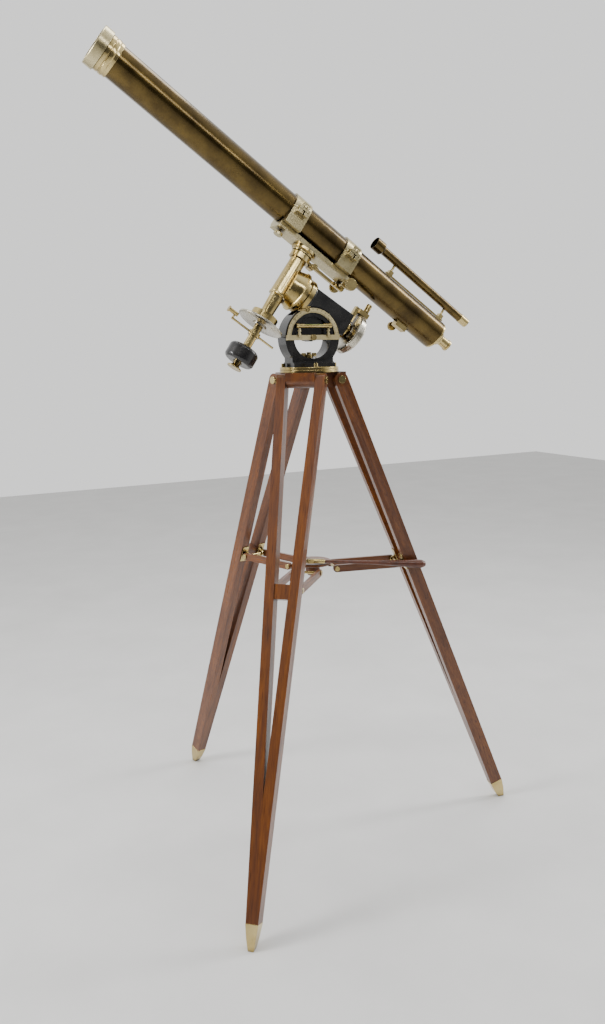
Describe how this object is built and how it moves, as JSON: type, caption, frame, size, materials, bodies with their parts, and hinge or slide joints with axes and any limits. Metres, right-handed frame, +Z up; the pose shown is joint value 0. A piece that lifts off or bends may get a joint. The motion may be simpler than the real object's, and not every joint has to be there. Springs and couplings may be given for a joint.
{
  "type": "refracting telescope on equatorial mount and tripod",
  "caption": "Brass refractor with finder, rack focuser and ring cradle on a hand-driven equatorial mount with counterweight, on a folding wooden tripod with spreader.",
  "frame": {"origin": "on the floor, under the middle of the whole object as seen from above", "axes": "+Z up; the polar axis lies in the XZ plane and rises towards -X; the graduated side of the base faces -Y"},
  "size_m": [1.1506, 1.0196, 2.1112],
  "materials": {
    "mahogany": "varnished",
    "golden_brass": "lacquered",
    "satin_brass": "satin",
    "bronzed_brass": "dark lacquer",
    "black_casting": "gloss black enamel",
    "silvered_brass": "silvered",
    "optical_glass": "polished",
    "spirit_glass": "polished"
  },
  "bodies": {
    "tripod_head": {"head_block": "mahogany", "head_plate": "golden_brass"},
    "spreader": {"spreader_hub": "mahogany"},
    "slow_motion_handle": {"slow_handle": "mahogany", "handle_fork": "golden_brass"},
    "handle_end": {"handle_socket": "golden_brass"},
    "base": {"azimuth_plate": "golden_brass", "base_casting": "black_casting", "base_fasteners": "golden_brass", "latitude_arc": "golden_brass", "level_case": "golden_brass", "level_vial": "spirit_glass"},
    "base_nut": {"azimuth_nut": "golden_brass"},
    "polar_frame": {"polar_housing": "black_casting", "polar_bearings": "golden_brass", "worm_box": "golden_brass"},
    "polar_clamp_screw": {"polar_clamp": "golden_brass"},
    "worm": {"worm_knob": "golden_brass"},
    "polar_axis": {"polar_head": "golden_brass", "hour_circle": "silvered_brass", "dec_housing": "golden_brass"},
    "declination_axis": {"dec_shaft": "golden_brass", "dec_circle": "silvered_brass", "clamp_arm": "golden_brass", "saddle_bar": "satin_brass", "main_tube": "bronzed_brass", "objective_cell": "golden_brass", "objective_lens": "optical_glass", "pinion_box": "golden_brass", "finder_mount": "golden_brass", "finder_tube": "bronzed_brass"},
    "reader": {"reader_arm": "golden_brass"},
    "weight": {"counterweight": "black_casting"},
    "weight_nut": {"end_nut": "golden_brass"},
    "dec_clamp_screw": {"dec_clamp": "golden_brass"},
    "tangent": {"tangent_screw": "golden_brass"},
    "strap_front": {"ring_strap_front": "satin_brass"},
    "strap_rear": {"ring_strap_rear": "satin_brass"},
    "thumb_front": {"ring_screw_front": "satin_brass"},
    "thumb_rear": {"ring_screw_rear": "satin_brass"},
    "dew_cap": {"dew_cap": "satin_brass"},
    "focuser": {"drawtube": "golden_brass"},
    "pinion": {"focus_pinion": "golden_brass"},
    "eyepiece": {"eyepiece_tube": "golden_brass"},
    "finder_ocular": {"finder_eyepiece": "golden_brass"},
    "leg_1": {"leg_1_staves": "mahogany", "leg_1_shoe": "golden_brass", "leg_1_fittings": "golden_brass"},
    "arm_1": {"arm_1_rails": "mahogany", "arm_1_pins": "golden_brass"},
    "leg_2": {"leg_2_staves": "mahogany", "leg_2_shoe": "golden_brass", "leg_2_fittings": "golden_brass"},
    "arm_2": {"arm_2_rails": "mahogany", "arm_2_pins": "golden_brass"},
    "leg_3": {"leg_3_staves": "mahogany", "leg_3_shoe": "golden_brass", "leg_3_fittings": "golden_brass"},
    "arm_3": {"arm_3_rails": "mahogany", "arm_3_pins": "golden_brass"}
  },
  "joints": [
    {"name": "leg_1_fold", "type": "hinge", "parent": "tripod_head", "child": "leg_1", "pos_m": [-0.05946, -0.11697, 1.296], "axis": [0.7357, -0.6773, 0], "range_deg": [0, 12]},
    {"name": "arm_1_fold", "type": "hinge", "parent": "leg_1", "child": "arm_1", "pos_m": [-0.17663, -0.24426, 0.775], "axis": [0.7357, -0.6773, 0], "range_deg": [-80, 0]},
    {"name": "leg_2_fold", "type": "hinge", "parent": "tripod_head", "child": "leg_2", "pos_m": [-0.0322, 0.00472, 1.296], "axis": [-0.9544, -0.2985, 0], "range_deg": [0, 12]},
    {"name": "arm_2_fold", "type": "hinge", "parent": "leg_2", "child": "arm_2", "pos_m": [-0.08384, 0.16983, 0.775], "axis": [-0.9544, -0.2985, 0], "range_deg": [-80, 0]},
    {"name": "leg_3_fold", "type": "hinge", "parent": "tripod_head", "child": "leg_3", "pos_m": [0.05956, -0.07974, 1.296], "axis": [0.2187, 0.9758, 0], "range_deg": [0, 12]},
    {"name": "arm_3_fold", "type": "hinge", "parent": "leg_3", "child": "arm_3", "pos_m": [0.22837, -0.11757, 0.775], "axis": [0.2187, 0.9758, 0], "range_deg": [-80, 0]},
    {"name": "spreader_slide", "type": "slide", "parent": "tripod_head", "child": "spreader", "axis": [0, 0, -1], "range_m": [0, 0.2]},
    {"name": "handle_lift", "type": "slide", "parent": "spreader", "child": "slow_motion_handle", "axis": [0, 0, 1], "range_m": [0, 0.15]},
    {"name": "handle_pivot", "type": "hinge", "parent": "slow_motion_handle", "child": "handle_end", "pos_m": [-0.04371, -0.10582, 0.80545], "axis": [0.2778, 0.9606, 0], "range_deg": [0, 35]},
    {"name": "azimuth", "type": "hinge", "parent": "tripod_head", "child": "base", "pos_m": [-0.0107, -0.064, 1.316], "axis": [0, 0, 1], "continuous": true},
    {"name": "base_nut_spin", "type": "hinge", "parent": "base", "child": "base_nut", "pos_m": [-0.0107, -0.064, 1.3553], "axis": [0, 0, 1], "continuous": true},
    {"name": "latitude", "type": "hinge", "parent": "base", "child": "polar_frame", "pos_m": [-0.0107, -0.064, 1.4065], "axis": [0, 1, 0], "range_deg": [-20, 18]},
    {"name": "polar_clamp_spin", "type": "hinge", "parent": "polar_frame", "child": "polar_clamp_screw", "pos_m": [-0.04994, -0.064, 1.47756], "axis": [0, 1, 0], "continuous": true},
    {"name": "worm_spin", "type": "hinge", "parent": "polar_frame", "child": "worm", "pos_m": [0.16789, -0.064, 1.47396], "axis": [0.5736, 0, 0.8192], "continuous": true},
    {"name": "polar", "type": "hinge", "parent": "polar_frame", "child": "polar_axis", "pos_m": [-0.07672, -0.064, 1.55002], "axis": [-0.8192, 0, 0.5736], "range_deg": [-100, 100]},
    {"name": "declination", "type": "hinge", "parent": "polar_axis", "child": "declination_axis", "pos_m": [-0.07672, -0.064, 1.55002], "axis": [0.5736, 0, 0.8192], "range_deg": [-100, 100]},
    {"name": "reader_swing", "type": "hinge", "parent": "declination_axis", "child": "reader", "pos_m": [-0.16849, -0.064, 1.41896], "axis": [0.5736, 0, 0.8192], "range_deg": [-30, 30]},
    {"name": "weight_slide", "type": "slide", "parent": "declination_axis", "child": "weight", "axis": [0.5736, 0, 0.8192], "range_m": [0, 0.034]},
    {"name": "weight_nut_spin", "type": "hinge", "parent": "declination_axis", "child": "weight_nut", "pos_m": [-0.2247, -0.064, 1.33868], "axis": [0.5736, 0, 0.8192], "continuous": true},
    {"name": "dec_clamp_spin", "type": "hinge", "parent": "declination_axis", "child": "dec_clamp_screw", "pos_m": [-0.00412, -0.064, 1.58745], "axis": [0, 1, 0], "continuous": true},
    {"name": "tangent_spin", "type": "hinge", "parent": "declination_axis", "child": "tangent", "pos_m": [0.0954, -0.064, 1.54303], "axis": [0, 1, 0], "continuous": true},
    {"name": "strap_front_open", "type": "hinge", "parent": "declination_axis", "child": "strap_front", "pos_m": [-0.0481, -0.012, 1.72165], "axis": [-0.8192, 0, 0.5736], "range_deg": [0, 75]},
    {"name": "thumb_front_spin", "type": "hinge", "parent": "strap_front", "child": "thumb_front", "pos_m": [-0.04351, -0.1215, 1.7282], "axis": [0.5736, 0, 0.8192], "continuous": true},
    {"name": "strap_rear_open", "type": "hinge", "parent": "declination_axis", "child": "strap_rear", "pos_m": [0.09853, -0.012, 1.61898], "axis": [-0.8192, 0, 0.5736], "range_deg": [0, 75]},
    {"name": "thumb_rear_spin", "type": "hinge", "parent": "strap_rear", "child": "thumb_rear", "pos_m": [0.10311, -0.1215, 1.62553], "axis": [0.5736, 0, 0.8192], "continuous": true},
    {"name": "dew_cap_slide", "type": "slide", "parent": "declination_axis", "child": "dew_cap", "axis": [-0.8192, 0, 0.5736], "range_m": [0, 0.015]},
    {"name": "focus", "type": "slide", "parent": "declination_axis", "child": "focuser", "axis": [0.8192, 0, -0.5736], "range_m": [0, 0.06]},
    {"name": "pinion_spin", "type": "hinge", "parent": "declination_axis", "child": "pinion", "pos_m": [0.27775, -0.064, 1.43733], "axis": [0, 1, 0], "range_deg": [0, 560]},
    {"name": "eyepiece_slide", "type": "slide", "parent": "focuser", "child": "eyepiece", "axis": [0.8192, 0, -0.5736], "range_m": [0, 0.03]},
    {"name": "finder_focus", "type": "slide", "parent": "declination_axis", "child": "finder_ocular", "axis": [0.8192, 0, -0.5736], "range_m": [0, 0.015]}
  ],
  "couplings": [
    {"joint": "arm_1_fold", "follows": "leg_1_fold", "ratio": -6.567},
    {"joint": "leg_2_fold", "follows": "leg_1_fold", "ratio": 1},
    {"joint": "arm_2_fold", "follows": "leg_1_fold", "ratio": -6.567},
    {"joint": "leg_3_fold", "follows": "leg_1_fold", "ratio": 1},
    {"joint": "arm_3_fold", "follows": "leg_1_fold", "ratio": -6.567},
    {"joint": "spreader_slide", "follows": "leg_1_fold", "m_per_rad": 0.929},
    {"joint": "pinion_spin", "follows": "focus", "rad_per_m": 161.3}
  ]
}
